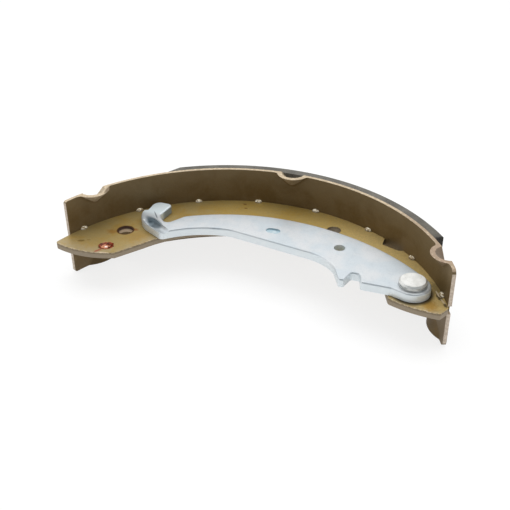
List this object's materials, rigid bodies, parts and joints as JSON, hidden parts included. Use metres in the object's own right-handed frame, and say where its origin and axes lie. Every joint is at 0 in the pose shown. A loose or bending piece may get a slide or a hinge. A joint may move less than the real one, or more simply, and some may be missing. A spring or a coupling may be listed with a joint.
{
  "type": "drum brake shoe",
  "caption": "T-section drum brake shoe with bonded lining, pressed nibs and a pivoting park brake lever riveted to its web.",
  "frame": {"origin": "middle of the shoe's bounding box in plan, at the height of the table's lower edge, on which it lies", "axes": "+Z along the drum's axis, up through the web; +Y outwards through the middle of the shoe; +X towards the lever's pivot"},
  "size_m": [0.182, 0.0776, 0.0388],
  "materials": {
    "web_steel": "oiled, golden tan",
    "rim_steel": "oiled, olive brown, bare cut edges",
    "friction_lining": "ground friction compound, matt grey",
    "lever_zinc": "bright zinc plated",
    "pin_zinc": "bright, worn"
  },
  "bodies": {
    "shoe": {"shoe_web": "web_steel", "shoe_rim": "rim_steel", "lining": "friction_lining", "pivot_pin": "pin_zinc"},
    "lever": {"park_lever": "lever_zinc"}
  },
  "joints": [
    {"name": "lever_pivot", "type": "hinge", "parent": "shoe", "child": "lever", "pos_m": [0.07361, -0.02284, 0.02355], "axis": [0, 0, 1], "range_deg": [-2, 20]}
  ]
}
